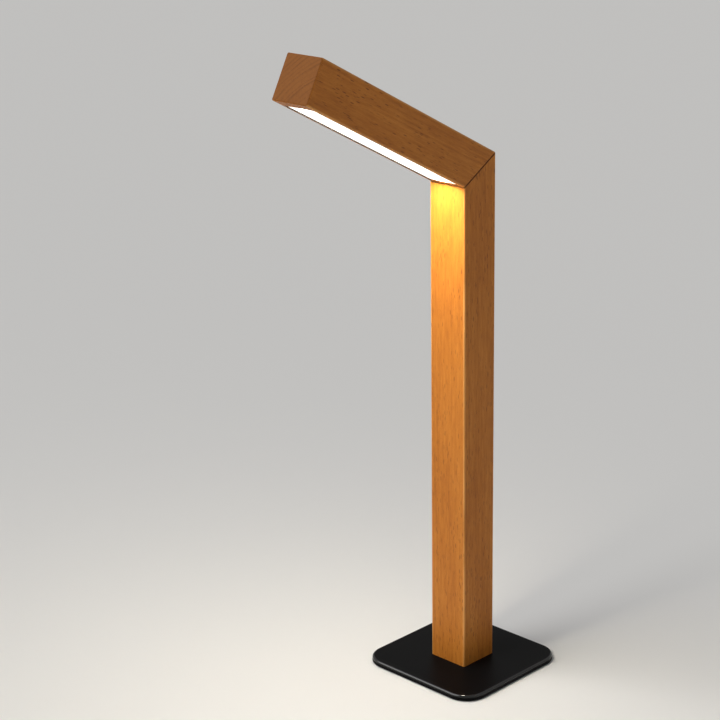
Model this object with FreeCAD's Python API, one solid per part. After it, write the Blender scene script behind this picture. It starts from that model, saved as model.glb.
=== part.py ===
import FreeCAD, Part
import math
import os

from FreeCAD import Placement, Rotation, Vector

# A cordless bedside lamp. A square beech column stands on a black steel plate, and a beech arm of the same
# section is mitred onto its top. The arm turns on a hollow spindle that stands square to the mitre. A light
# strip fills the arm's underside. The column is routed out from behind for the cell, the board and the leads.
# The origin is the middle of the base on the table, +Z is up and the arm points towards -Y.

# Driving dimensions, in millimetres and degrees

# Beech bar of the column and the arm
BAR = 30.0
EDGE_ROUND = 1.0
KNEE_HEIGHT = 342.0
ARM_REACH = 155.0
ARM_RISE = 28.0
FOOT_HEIGHT = 16.0

# Base plate, its pad and what holds the column on it
BASE_SIDE = 98.0
BASE_CORNER_RADIUS = 16.0
BASE_PLATE_THICKNESS = 4.0
BASE_TOP_ROUND = 1.6
BASE_BOTTOM_ROUND = 0.4
PAD_THICKNESS = 0.6
PAD_INSET = 3.0
BASE_SCREW_DIAMETER = 6.0
BASE_SCREW_HEAD = 11.5
BASE_SCREW_SOCKET = 4.0
BASE_SCREW_SOCKET_DEPTH = 1.8
BASE_SCREW_REACH = 12.0
INSERT_DIAMETER = 10.0
INSERT_LENGTH = 13.0
THREAD_GAP = 0.05
PIN_DIAMETER = 3.0
PIN_SPACING = 20.0
PIN_IN_PLATE = 3.0
PIN_IN_COLUMN = 6.0

# Routed channel in the back of the column and what closes it
COVER_THICKNESS = 3.0
COVER_GAP = 0.15
REBATE_LIP = 2.4
REBATE_CORNER = 3.0
END_LEDGE = 4.0
TOP_LEDGE = 1.0
PANEL_MARGIN = 1.8
COVER_SCREW_HEAD = 2.8
COVER_SCREW_SHANK = 1.6
COVER_SCREW_LENGTH = 8.0
COVER_SCREW_EDGE = 1.7
COVER_SCREW_END = 5.0
COVER_SCREW_ROWS = 3
RELIEF_GAP = 0.4
RELIEF_HEIGHT = 26.0
RELIEF_SIDE = 9.0

# Cell
CELL_DIAMETER = 18.4
CELL_LENGTH = 65.0
CELL_SIDE_GAP = 0.5
CELL_PAD = 0.8
CELL_PAD_WIDTH = 9.0
CELL_PAD_LENGTH = 50.0
CELL_SEAT_GAP = 0.1
CELL_ABOVE_PANEL = 21.4
CELL_NUB_DIAMETER = 6.0
CELL_NUB_HEIGHT = 1.0
TAB_WIDTH = 5.0
TAB_LENGTH = 9.0
TAB_THICKNESS = 0.4
LEAD_DIAMETER = 1.4
LEAD_STRAIGHT = 5.0
LEAD_BEND = 5.0
LEAD_TIGHT_BEND = 3.5

# Control board behind the panel, with the charging socket, the switch and the charge light
BOARD_WIDTH = 17.0
BOARD_LENGTH = 55.6
BOARD_THICKNESS = 1.6
BOARD_MARGIN = 0.6
BOSS_DIAMETER = 5.0
BOSS_HEIGHT = 5.0
BOSS_INSET = 3.2
BOARD_SCREW_DIAMETER = 2.0
BOARD_SCREW_HEAD = 3.8
BOARD_SCREW_HEAD_HEIGHT = 1.3
BOARD_SCREW_IN_BOSS = 4.0
USB_FROM_BOARD_END = 11.8
USB_WIDTH = 9.0
USB_THICKNESS = 3.3
USB_WALL = 0.35
USB_BASE = 1.5
USB_TONGUE_WIDTH = 6.7
USB_TONGUE_THICKNESS = 0.7
USB_TONGUE_SETBACK = 1.0
USB_SETBACK = 0.3
USB_GAP = 0.15
USB_RECESS_MARGIN = 0.6
LIGHT_ABOVE_USB = 8.0
LIGHT_PIPE_DIAMETER = 3.0
LIGHT_PIPE_GAP = 0.03
LIGHT_CHIP = 2.0
LIGHT_CHIP_HEIGHT = 0.8
LIGHT_CHIP_CLEARANCE = 0.2
BUTTON_FROM_BOARD_END = 12.8
BUTTON_DIAMETER = 9.0
BUTTON_GAP = 0.15
BUTTON_PROUD = 0.8
BUTTON_TRAVEL = 0.8
BUTTON_ROUND = 0.5
BUTTON_DISH = 0.25
BUTTON_DISH_LAND = 0.3
BUTTON_HOLE_BEVEL = 0.5
BUTTON_RIM = 1.25
BUTTON_RIM_THICKNESS = 0.9
BUTTON_RIM_GAP = 0.1
SWITCH_SIDE = 6.0
SWITCH_CLEARANCE = 0.2
SWITCH_FLOOR = 1.0
PLUNGER_DIAMETER = 3.3
PLUNGER_GAP = 0.15
SOCKET_WIDTH = 7.0
SOCKET_DEPTH = 4.8
SOCKET_HEIGHT = 6.0
SOCKET_SPACING = 8.6
SOCKET_DROP = 11.0
PLUG_SIDE_MARGIN = 0.6
PLUG_HEIGHT = 5.0
CHIP_SIZE = (5.0, 1.6, 4.0)
INDUCTOR_SIZE = (6.0, 3.0, 6.0)
CAPACITOR_SIZE = (3.2, 1.6, 1.6)
COMPONENT_SPACING = 7.2
COMPONENT_GAP = 2.0

# Swivel at the knee, measured along the spindle from the mitre plane
SWIVEL_GAP = 0.6
SWIVEL_LIMIT = 165.0
FLANGE_RADIUS = 12.5
FLANGE_THICKNESS = 2.5
FLANGE_FLAT = 11.6
SPINDLE_RADIUS = 4.0
SPINDLE_BORE = 2.5
SPINDLE_PROUD = 1.3
RUNNING_GAP = 0.05
BUSH_RADIUS = 6.0
BULKHEAD = 6.3
RING_NUT_RADIUS = 8.5
RING_NUT_THICKNESS = 2.0
RING_NUT_SLOT = 2.4
BUSH_PROUD = 0.2
DISC_SPRING_RADIUS = 6.2
DISC_SPRING_THICKNESS = 0.7
DISC_SPRING_CONE = 0.4
NUT_ACROSS_FLATS = 12.0
NUT_THICKNESS = 3.0
WASHER_RADIUS = 7.2
WASHER_GAP = 0.2
STOP_PIN_RADIUS = 1.0
STOP_PIN_CIRCLE = 9.5
STOP_PIN_DROP = 1.2
STOP_GROOVE_GAP = 0.2
STOP_GROOVE_DEPTH = 1.6
STOP_SPARE_ANGLE = 0.5
FLANGE_SCREW_CIRCLE = 8.5
FLANGE_SCREW_HEAD = 4.2
FLANGE_SCREW_SHANK = 2.2
FLANGE_SCREW_LENGTH = 7.7
LEAD_BORE_RADIUS = 3.5
LEAD_BORE_DEPTH = 14.5

# Light strip in the arm's underside
STRIP_WIDTH = 25.0
STRIP_DEPTH = 10.0
STRIP_TIP_MARGIN = 9.0
STRIP_KNEE_MARGIN = 3.0
STRIP_END_GAP = 0.2
PROFILE_GAP = 0.1
PROFILE_WALL = 1.0
PROFILE_FLOOR = 1.3
PROFILE_LEDGE = 0.7
PROFILE_LEDGE_HEIGHT = 0.8
PROFILE_NOTCH_LENGTH = 11.0
PROFILE_NOTCH_HALF = 5.0
DIFFUSER_RECESS = 0.5
DIFFUSER_THICKNESS = 1.5
DIFFUSER_GAP = 0.1
DIFFUSER_ROUND = 0.3
LED_BOARD_WIDTH = 12.0
LED_BOARD_THICKNESS = 1.0
LED_BOARD_KNEE_INSET = 12.3
LED_BOARD_TIP_INSET = 1.3
LED_SCREW_INSET = 5.5
LED_SCREW_DIAMETER = 2.2
LED_SCREW_HEAD = 4.0
LED_SCREW_HEAD_HEIGHT = 1.4
LED_SCREW_IN_WOOD = 6.0
LED_CHIP_LENGTH = 3.5
LED_CHIP_WIDTH = 2.8
LED_CHIP_HEIGHT = 0.7
LED_CHIP_PITCH = 5.8
LED_CHIP_SCREW_GAP = 3.0
CABLE_DIAMETER = 2.6
CABLE_GAP = 0.3
CABLE_BEND = 7.5
CABLE_WIDE_BEND = 12.0
CABLE_STRAIGHT = 5.0
CABLE_CROSSING = 38.0
CABLE_APPROACH = 12.0
CABLE_COVER_GAP = 1.2
CABLE_ON_BOARD = 1.5
CABLE_BEFORE_BOARD = 4.3
ARC_SHARE = 0.48

# Cross recesses and rounded heads of the screws, as shares of the head
CROSS_WIDTH = 0.55
CROSS_DEPTH = 0.16
CROSS_ARM = 0.14
PAN_ROUND = 0.5

# A boolean cut runs past the face that it opens by this much
OVERCUT = 1.0

# Values worked out from the driving dimensions

HALF = BAR / 2
BASE_TOP = PAD_THICKNESS + BASE_PLATE_THICKNESS
X_AXIS = Vector(1, 0, 0)
Y_AXIS = Vector(0, 1, 0)
Z_AXIS = Vector(0, 0, 1)

# The mitre halves the turn from the column to the arm. Its normal is the swivel's axis.
MITRE = (90 - ARM_RISE) / 2
MITRE_SIN = math.sin(math.radians(MITRE))
MITRE_COS = math.cos(math.radians(MITRE))
KNEE_CENTRE = Vector(0, 0, KNEE_HEIGHT + HALF * MITRE_SIN / MITRE_COS)
AT_KNEE = Placement(KNEE_CENTRE, Rotation(X_AXIS, MITRE))
# In the arm's own frame y runs up from the underside and z runs from the inner corner to the tip.
IN_ARM = Placement(Vector(0, -HALF, KNEE_HEIGHT), Rotation(X_AXIS, 90 - ARM_RISE))

FLANGE_TOP = -SWIVEL_GAP / 2
FLANGE_BOTTOM = FLANGE_TOP - FLANGE_THICKNESS
BUSH_END = -BULKHEAD - RING_NUT_THICKNESS - BUSH_PROUD
NUT_TOP = BUSH_END - DISC_SPRING_THICKNESS - DISC_SPRING_CONE
NUT_BOTTOM = NUT_TOP - NUT_THICKNESS
SPINDLE_END = NUT_BOTTOM - SPINDLE_PROUD
NUT_CORNER = NUT_ACROSS_FLATS / math.sqrt(3)
NUT_REACH = NUT_CORNER * MITRE_COS - NUT_BOTTOM * MITRE_SIN
STOP_PIN_ANGLE = -90.0

COVER_INSIDE = HALF - COVER_THICKNESS
CHANNEL_HALF = CELL_DIAMETER / 2 + CELL_SIDE_GAP
CHANNEL_FLOOR = COVER_INSIDE - 2 * (CELL_PAD + CELL_SEAT_GAP) - CELL_DIAMETER
CHANNEL_BOTTOM = BASE_TOP + FOOT_HEIGHT
REBATE_HALF = HALF - REBATE_LIP
REBATE_BOTTOM = CHANNEL_BOTTOM - END_LEDGE
RELIEF_FACE = max(COVER_INSIDE, NUT_REACH + RELIEF_GAP)

BOARD_OUTSIDE = COVER_INSIDE - BOSS_HEIGHT
BOARD_INSIDE = BOARD_OUTSIDE - BOARD_THICKNESS
BOARD_BOTTOM = CHANNEL_BOTTOM + BOARD_MARGIN
BOARD_TOP = BOARD_BOTTOM + BOARD_LENGTH
BOSS_HEIGHTS = (BOARD_BOTTOM + BOSS_INSET, BOARD_TOP - BOSS_INSET)
USB_HEIGHT = BOARD_BOTTOM + USB_FROM_BOARD_END
LIGHT_HEIGHT = USB_HEIGHT + LIGHT_ABOVE_USB
BUTTON_HEIGHT = BOARD_TOP - BUTTON_FROM_BOARD_END
PANEL_TOP = BOARD_TOP + PANEL_MARGIN
CELL_Y = CHANNEL_FLOOR + CELL_PAD + CELL_SEAT_GAP + CELL_DIAMETER / 2
CELL_BOTTOM = PANEL_TOP + CELL_ABOVE_PANEL
CELL_TOP = CELL_BOTTOM + CELL_LENGTH
RIM_OUTSIDE = COVER_INSIDE - BUTTON_RIM_GAP
RIM_INSIDE = RIM_OUTSIDE - BUTTON_RIM_THICKNESS
SWITCH_TOP = RIM_INSIDE - BUTTON_TRAVEL - SWITCH_CLEARANCE
PLUNGER_BOTTOM = BOARD_OUTSIDE + SWITCH_FLOOR + BUTTON_TRAVEL + BUTTON_RIM_GAP
SOCKET_TOP = BOARD_TOP - SOCKET_DROP
PLUG_TOP = SOCKET_TOP + PLUG_HEIGHT
SOCKET_Y = BOARD_INSIDE - SOCKET_DEPTH / 2

STRIP_KNEE_END = STRIP_KNEE_MARGIN
STRIP_TIP_END = ARM_REACH - STRIP_TIP_MARGIN
PROFILE_HALF = STRIP_WIDTH / 2 - PROFILE_GAP
PROFILE_INNER_HALF = PROFILE_HALF - PROFILE_WALL
PROFILE_FLOOR_FACE = STRIP_DEPTH - PROFILE_FLOOR
DIFFUSER_BACK = DIFFUSER_RECESS + DIFFUSER_THICKNESS
LED_FACE = PROFILE_FLOOR_FACE - LED_BOARD_THICKNESS
LED_BOARD_START = STRIP_KNEE_END + LED_BOARD_KNEE_INSET
LED_BOARD_END = STRIP_TIP_END - LED_BOARD_TIP_INSET
LED_SCREW_PLACES = (LED_BOARD_START + LED_SCREW_INSET, LED_BOARD_END - LED_SCREW_INSET)

CABLE_RADIUS = CABLE_DIAMETER / 2


def plane_height(y, depth):
    """Height at y of the plane that lies depth along the spindle from the mitre."""
    return KNEE_CENTRE.z + (depth + y * MITRE_SIN) / MITRE_COS


# Shapes

def block(x, y, z):
    """Box between the two values given for each axis."""
    corner = Vector(x[0], y[0], z[0])
    return Part.makeBox(x[1] - x[0], y[1] - y[0], z[1] - z[0], corner)


def rod(radius, z, x=0.0, y=0.0):
    """Cylinder along Z between the two heights."""
    return Part.makeCylinder(radius, z[1] - z[0], Vector(x, y, z[0]), Z_AXIS)


def rod_y(radius, y, x=0.0, z=0.0):
    """Cylinder along Y between the two depths."""
    return Part.makeCylinder(radius, y[1] - y[0], Vector(x, y[0], z), Y_AXIS)


def placed(shape, placement):
    moved = shape.copy()
    moved.Placement = placement.multiply(moved.Placement)
    return moved


def rounded(shape, radius, wanted):
    """Rounds the edges for which wanted(edge) is true."""
    return shape.makeFillet(radius, [edge for edge in shape.Edges if wanted(edge)])


def runs_along(edge, axis):
    ends = [vertex.Point for vertex in edge.Vertexes]
    return len(ends) == 2 and (ends[1] - ends[0]).normalize().cross(axis).Length < 1e-6


def lies_at(edge, height):
    return all(abs(vertex.Point.z - height) < 1e-6 for vertex in edge.Vertexes)


def stadium(width, thickness, y, z):
    """Slot shape, long along X, that runs along Y and is centred at height z."""
    radius = thickness / 2
    reach = width / 2 - radius
    middle = block((-reach, reach), y, (z - radius, z + radius))
    return middle.fuse([rod_y(radius, y, -reach, z), rod_y(radius, y, reach, z)]).removeSplitter()


def hexagon(across_flats, z):
    corner = across_flats / math.sqrt(3)
    turns = [math.radians(60 * k) for k in range(7)]
    points = [Vector(corner * math.cos(turn), corner * math.sin(turn), z[0]) for turn in turns]
    return Part.Face(Part.makePolygon(points)).extrude(Vector(0, 0, z[1] - z[0]))


def countersunk(head, shank, length):
    """Screw envelope along -Z with the flat top of its 90 degree head at the origin."""
    head_height = (head - shank) / 2
    cone = Part.makeCone(shank / 2, head / 2, head_height, Vector(0, 0, -head_height), Z_AXIS)
    return cone.fuse(rod(shank / 2, (-length, -head_height))).removeSplitter()


def cross_recess(head):
    """Cross-shaped cutter for a screw whose head has its top at the origin."""
    half, arm = head * CROSS_WIDTH / 2, head * CROSS_ARM / 2
    depth = (-head * CROSS_DEPTH, OVERCUT)
    return block((-half, half), (-arm, arm), depth).fuse(block((-arm, arm), (-half, half), depth))


def pan_head(head, head_height, shank, length):
    """Screw along -Z whose head stands on the plane z = 0."""
    cap = rounded(rod(head / 2, (0, head_height)), head_height * PAN_ROUND, lambda e: lies_at(e, head_height))
    recess = placed(cross_recess(head), Placement(Vector(0, 0, head_height), Rotation()))
    return cap.cut(recess).fuse(rod(shank / 2, (-length, 0))).removeSplitter()


def rounded_square(side, corner_radius, z):
    half = side / 2
    return rounded(block((-half, half), (-half, half), z), corner_radius, lambda e: runs_along(e, Z_AXIS))


def tube(points, radii, radius):
    """Round lead along straight runs that meet in tangent arcs, one radius for each inner point.

    An arc that would take more than its share of a short run is made tighter.
    """
    edges, start = [], points[0]
    for before, corner, after, bend in zip(points, points[1:], points[2:], radii):
        shortest = min((before - corner).Length, (after - corner).Length)
        back = (before - corner).normalize()
        ahead = (after - corner).normalize()
        half_turn = (math.pi - back.getAngle(ahead)) / 2
        bend = min(bend, ARC_SHARE * shortest / math.tan(half_turn))
        first = corner + back * (bend * math.tan(half_turn))
        last = corner + ahead * (bend * math.tan(half_turn))
        inward = (back + ahead).normalize()
        middle = corner + inward * (bend / math.cos(half_turn) - bend)
        edges += [Part.LineSegment(start, first).toShape(), Part.Arc(first, middle, last).toShape()]
        start = last
    edges.append(Part.LineSegment(start, points[-1]).toShape())
    path = Part.Wire(edges)
    section = Part.Wire(Part.makeCircle(radius, points[0], (points[1] - points[0]).normalize()))
    return path.makePipeShell([section], True, True)


# Knee: the cut that mitres both bars, and the envelopes that the wood is cleared for

def knee_side(side):
    """Space on one side of the mitre, from half the swivel gap outwards: 1 is the arm's, -1 the column's."""
    reach = KNEE_HEIGHT + ARM_REACH + BAR
    near, far = sorted((side * SWIVEL_GAP / 2, side * reach))
    return placed(block((-reach, reach), (-reach, reach), (near, far)), AT_KNEE)


def flange(z):
    """Round flange with two flats, so that it can't turn in its recess."""
    return rod(FLANGE_RADIUS, z).common(block((-FLANGE_FLAT, FLANGE_FLAT), (-BAR, BAR), z))


def flange_screw_places():
    """Two screws beside the stop pin and one opposite it."""
    for turn in (60, -60, 180):
        angle = math.radians(STOP_PIN_ANGLE + turn)
        x, y = FLANGE_SCREW_CIRCLE * math.cos(angle), FLANGE_SCREW_CIRCLE * math.sin(angle)
        yield Vector(x, y, -FLANGE_TOP)


def flange_screw_envelopes():
    """The spindle's screws point up into the arm, so each is turned over."""
    screw = countersunk(FLANGE_SCREW_HEAD, FLANGE_SCREW_SHANK, FLANGE_SCREW_LENGTH)
    return [placed(screw, Placement(place, Rotation(X_AXIS, 180))) for place in flange_screw_places()]


def stop_pin_envelope():
    angle = math.radians(STOP_PIN_ANGLE)
    x, y = STOP_PIN_CIRCLE * math.cos(angle), STOP_PIN_CIRCLE * math.sin(angle)
    return rod(STOP_PIN_RADIUS, (FLANGE_TOP - STOP_PIN_DROP, -FLANGE_BOTTOM), x, y)


# Base

def base_screw():
    """Countersunk machine screw from below, with a hexagon socket in its head."""
    screw = placed(countersunk(BASE_SCREW_HEAD, BASE_SCREW_DIAMETER, BASE_PLATE_THICKNESS + BASE_SCREW_REACH),
                   Placement(Vector(0, 0, PAD_THICKNESS), Rotation(X_AXIS, 180)))
    socket = hexagon(BASE_SCREW_SOCKET, (PAD_THICKNESS - OVERCUT, PAD_THICKNESS + BASE_SCREW_SOCKET_DEPTH))
    return screw.cut(socket)


def locating_pins():
    z = (BASE_TOP - PIN_IN_PLATE, BASE_TOP + PIN_IN_COLUMN)
    return [rod(PIN_DIAMETER / 2, z, x) for x in (-PIN_SPACING / 2, PIN_SPACING / 2)]


def base_plate():
    plate = rounded_square(BASE_SIDE, BASE_CORNER_RADIUS, (PAD_THICKNESS, BASE_TOP))
    plate = rounded(plate, BASE_TOP_ROUND, lambda e: lies_at(e, BASE_TOP))
    plate = rounded(plate, BASE_BOTTOM_ROUND, lambda e: lies_at(e, PAD_THICKNESS))
    hole = placed(countersunk(BASE_SCREW_HEAD, BASE_SCREW_DIAMETER, BASE_PLATE_THICKNESS + OVERCUT),
                  Placement(Vector(0, 0, PAD_THICKNESS), Rotation(X_AXIS, 180)))
    return plate.cut([hole] + locating_pins())


def base_pad():
    return rounded_square(BASE_SIDE - 2 * PAD_INSET, BASE_CORNER_RADIUS - PAD_INSET, (0, PAD_THICKNESS))


def column_insert():
    """Threaded insert in the column's foot that the base screw pulls on."""
    body = rod(INSERT_DIAMETER / 2, (BASE_TOP, BASE_TOP + INSERT_LENGTH))
    bore = rod(BASE_SCREW_DIAMETER / 2 + THREAD_GAP, (BASE_TOP - OVERCUT, BASE_TOP + INSERT_LENGTH + OVERCUT))
    return body.cut(bore)


# Column

def channel():
    """Routed space for the cell, the board and the leads. Its upper end is parallel to the mitre."""
    outside = HALF + OVERCUT
    corners = [(CHANNEL_FLOOR, CHANNEL_BOTTOM),
               (outside, CHANNEL_BOTTOM),
               (outside, plane_height(outside, -BULKHEAD)),
               (CHANNEL_FLOOR, plane_height(CHANNEL_FLOOR, -BULKHEAD))]
    points = [Vector(-CHANNEL_HALF, y, z) for y, z in corners + corners[:1]]
    return Part.Face(Part.makePolygon(points)).extrude(Vector(2 * CHANNEL_HALF, 0, 0))


def rebate_top():
    return plane_height(HALF, -BULKHEAD) + TOP_LEDGE


def rebate():
    """Shallow recess for the cover and the panel, with the round corners that the router leaves."""
    cutter = block((-REBATE_HALF, REBATE_HALF), (COVER_INSIDE, HALF + OVERCUT), (REBATE_BOTTOM, rebate_top()))
    return rounded(cutter, REBATE_CORNER, lambda e: runs_along(e, Y_AXIS))


def fitted_corners(plate, height):
    """Rounds a plate's two corners at this height to fit the rebate's."""
    return rounded(plate, REBATE_CORNER - COVER_GAP, lambda e: runs_along(e, Y_AXIS) and lies_at(e, height))


def cover_screws_at(heights, recess=None):
    """Screws down both edges of a cover, with their heads flush with the column's back."""
    screw = countersunk(COVER_SCREW_HEAD, COVER_SCREW_SHANK, COVER_SCREW_LENGTH)
    screw = screw.cut(recess) if recess else screw
    edge = REBATE_HALF - COVER_SCREW_EDGE
    inwards = Rotation(X_AXIS, -90)
    return [placed(screw, Placement(Vector(x, HALF, z), inwards)) for x in (-edge, edge) for z in heights]


def panel_screw_heights():
    return (REBATE_BOTTOM + COVER_SCREW_END, PANEL_TOP - COVER_SCREW_END)


def rear_cover_screw_heights():
    low, high = PANEL_TOP + COVER_SCREW_END, rebate_top() - COVER_SCREW_END
    step = (high - low) / (COVER_SCREW_ROWS - 1)
    return [low + step * row for row in range(COVER_SCREW_ROWS)]


def column():
    bar = rounded(block((-HALF, HALF), (-HALF, HALF), (BASE_TOP, KNEE_HEIGHT + 2 * BAR)), EDGE_ROUND,
                  lambda e: runs_along(e, Z_AXIS))
    bush_recess = placed(flange((FLANGE_BOTTOM, OVERCUT)), AT_KNEE)
    bush_bore = placed(rod(BUSH_RADIUS, (-BULKHEAD - OVERCUT, OVERCUT)), AT_KNEE)
    insert_bore = rod(INSERT_DIAMETER / 2, (BASE_TOP - OVERCUT, BASE_TOP + INSERT_LENGTH))
    bar = bar.common(knee_side(-1)).cut([channel(), rebate(), bush_recess, bush_bore, insert_bore])
    return bar.cut(locating_pins() + cover_screws_at(panel_screw_heights())
                   + cover_screws_at(rear_cover_screw_heights()))


def rear_cover():
    """Beech strip let into the column's back, relieved inside where it passes the swivel's nut."""
    side = REBATE_HALF - COVER_GAP
    top = rebate_top() - COVER_GAP
    strip = fitted_corners(block((-side, side), (COVER_INSIDE, HALF), (PANEL_TOP + COVER_GAP, top)), top)
    relief = block((-RELIEF_SIDE, RELIEF_SIDE), (COVER_INSIDE - OVERCUT, RELIEF_FACE),
                   (top - RELIEF_HEIGHT, top + OVERCUT))
    return strip.cut([relief] + cover_screws_at(rear_cover_screw_heights()))


def rear_cover_screws():
    return Part.makeCompound(cover_screws_at(rear_cover_screw_heights(), cross_recess(COVER_SCREW_HEAD)))


# Control panel and board

def control_panel():
    """Moulded plate with the socket's slot, holes for the button and the charge light, and two bosses."""
    side = REBATE_HALF - COVER_GAP
    bottom = REBATE_BOTTOM + COVER_GAP
    plate = block((-side, side), (COVER_INSIDE, HALF), (bottom, PANEL_TOP - COVER_GAP))
    plate = fitted_corners(plate, bottom)
    bosses = [rod_y(BOSS_DIAMETER / 2, (BOARD_OUTSIDE, COVER_INSIDE), 0, z) for z in BOSS_HEIGHTS]
    through = (COVER_INSIDE - OVERCUT, HALF + OVERCUT)
    slot = stadium(USB_WIDTH + 2 * USB_GAP, USB_THICKNESS + 2 * USB_GAP, through, USB_HEIGHT)
    rim = 2 * (USB_GAP + USB_RECESS_MARGIN)
    recess = stadium(USB_WIDTH + rim, USB_THICKNESS + rim, (HALF - USB_SETBACK, HALF + OVERCUT), USB_HEIGHT)
    hole_radius = BUTTON_DIAMETER / 2 + BUTTON_GAP
    button_hole = rod_y(hole_radius, through, 0, BUTTON_HEIGHT)
    bevel = Part.makeCone(hole_radius, hole_radius + BUTTON_HOLE_BEVEL + OVERCUT, BUTTON_HOLE_BEVEL + OVERCUT,
                          Vector(0, HALF - BUTTON_HOLE_BEVEL, BUTTON_HEIGHT), Y_AXIS)
    light_hole = rod_y(LIGHT_PIPE_DIAMETER / 2 + LIGHT_PIPE_GAP, through, 0, LIGHT_HEIGHT)
    screw_depth = (BOARD_OUTSIDE - OVERCUT, BOARD_OUTSIDE + BOARD_SCREW_IN_BOSS)
    screw_holes = [rod_y(BOARD_SCREW_DIAMETER / 2, screw_depth, 0, z) for z in BOSS_HEIGHTS]
    panel = plate.fuse(bosses).removeSplitter()
    panel = panel.cut([slot, recess, button_hole, bevel, light_hole])
    return panel.cut(screw_holes + cover_screws_at(panel_screw_heights()))


def control_panel_screws():
    return Part.makeCompound(cover_screws_at(panel_screw_heights(), cross_recess(COVER_SCREW_HEAD)))


def control_board():
    half = BOARD_WIDTH / 2
    board = block((-half, half), (BOARD_INSIDE, BOARD_OUTSIDE), (BOARD_BOTTOM, BOARD_TOP))
    return board.cut([rod_y(BOARD_SCREW_DIAMETER / 2, (BOARD_INSIDE - OVERCUT, BOARD_OUTSIDE + OVERCUT), 0, z)
                      for z in BOSS_HEIGHTS])


def control_board_screws():
    screw = pan_head(BOARD_SCREW_HEAD, BOARD_SCREW_HEAD_HEIGHT, BOARD_SCREW_DIAMETER,
                     BOARD_THICKNESS + BOARD_SCREW_IN_BOSS)
    return Part.makeCompound([placed(screw, Placement(Vector(0, BOARD_INSIDE, z), Rotation(X_AXIS, 90)))
                              for z in BOSS_HEIGHTS])


def board_components():
    """Charger and driver chips, inductor and capacitors on the board's inner face, in two columns."""
    columns = ((-COMPONENT_SPACING / 2, (CHIP_SIZE, CAPACITOR_SIZE, CAPACITOR_SIZE)),
               (COMPONENT_SPACING / 2, (INDUCTOR_SIZE, CHIP_SIZE)))
    solids = []
    for x, sizes in columns:
        low = BOSS_HEIGHTS[0] + BOARD_SCREW_HEAD / 2 + COMPONENT_GAP
        for width, depth, height in sizes:
            solids.append(block((x - width / 2, x + width / 2), (BOARD_INSIDE - depth, BOARD_INSIDE),
                                (low, low + height)))
            low += height + COMPONENT_GAP
    return Part.makeCompound(solids)


def socket_places():
    return (-SOCKET_SPACING / 2, SOCKET_SPACING / 2)


def board_sockets():
    """Sockets for the cell's leads and the light strip's cable, side by side at the board's upper end."""
    half = SOCKET_WIDTH / 2
    return Part.makeCompound([block((x - half, x + half), (BOARD_INSIDE - SOCKET_DEPTH, BOARD_INSIDE),
                                    (SOCKET_TOP - SOCKET_HEIGHT, SOCKET_TOP)) for x in socket_places()])


def lead_plug(x):
    half = SOCKET_WIDTH / 2 - PLUG_SIDE_MARGIN
    depth = SOCKET_DEPTH / 2 - PLUG_SIDE_MARGIN
    return block((x - half, x + half), (SOCKET_Y - depth, SOCKET_Y + depth), (SOCKET_TOP, PLUG_TOP))


def usb_shell():
    outside = stadium(USB_WIDTH, USB_THICKNESS, (BOARD_OUTSIDE, HALF - USB_SETBACK), USB_HEIGHT)
    inside = stadium(USB_WIDTH - 2 * USB_WALL, USB_THICKNESS - 2 * USB_WALL,
                     (BOARD_OUTSIDE - OVERCUT, HALF + OVERCUT), USB_HEIGHT)
    return outside.cut(inside)


def usb_tongue():
    """Moulded base that fills the shell's foot, and the flat tongue that the plug slides over."""
    base = stadium(USB_WIDTH - 2 * USB_WALL, USB_THICKNESS - 2 * USB_WALL,
                   (BOARD_OUTSIDE, BOARD_OUTSIDE + USB_BASE), USB_HEIGHT)
    half, thin = USB_TONGUE_WIDTH / 2, USB_TONGUE_THICKNESS / 2
    tongue = block((-half, half), (BOARD_OUTSIDE, HALF - USB_SETBACK - USB_TONGUE_SETBACK),
                   (USB_HEIGHT - thin, USB_HEIGHT + thin))
    return base.fuse(tongue).removeSplitter()


def indicator_chip():
    half = LIGHT_CHIP / 2
    return block((-half, half), (BOARD_OUTSIDE, BOARD_OUTSIDE + LIGHT_CHIP_HEIGHT),
                 (LIGHT_HEIGHT - half, LIGHT_HEIGHT + half))


def indicator_lens():
    """Clear light pipe from the charge light to the panel's face."""
    return rod_y(LIGHT_PIPE_DIAMETER / 2, (BOARD_OUTSIDE + LIGHT_CHIP_HEIGHT + LIGHT_CHIP_CLEARANCE, HALF),
                 0, LIGHT_HEIGHT)


def switch_body():
    half = SWITCH_SIDE / 2
    body = block((-half, half), (BOARD_OUTSIDE, SWITCH_TOP), (BUTTON_HEIGHT - half, BUTTON_HEIGHT + half))
    well = (BOARD_OUTSIDE + SWITCH_FLOOR, SWITCH_TOP + OVERCUT)
    return body.cut(rod_y(PLUNGER_DIAMETER / 2 + PLUNGER_GAP, well, 0, BUTTON_HEIGHT))


def switch_plunger():
    return rod_y(PLUNGER_DIAMETER / 2, (PLUNGER_BOTTOM, RIM_INSIDE), 0, BUTTON_HEIGHT)


def power_button():
    """Cap with a dished face, and a rim behind the panel that keeps it in."""
    height = HALF + BUTTON_PROUD - RIM_OUTSIDE
    cap = rounded(rod(BUTTON_DIAMETER / 2, (0, height)), BUTTON_ROUND, lambda e: lies_at(e, height))
    dish_edge = BUTTON_DIAMETER / 2 - BUTTON_ROUND - BUTTON_DISH_LAND
    dish_radius = (dish_edge ** 2 + BUTTON_DISH ** 2) / (2 * BUTTON_DISH)
    cap = cap.cut(Part.makeSphere(dish_radius, Vector(0, 0, height + dish_radius - BUTTON_DISH)))
    rim = rod(BUTTON_DIAMETER / 2 + BUTTON_RIM, (RIM_INSIDE - RIM_OUTSIDE, 0))
    button = cap.fuse(rim).removeSplitter()
    return placed(button, Placement(Vector(0, RIM_OUTSIDE, BUTTON_HEIGHT), Rotation(X_AXIS, -90)))


# Cell

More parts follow.
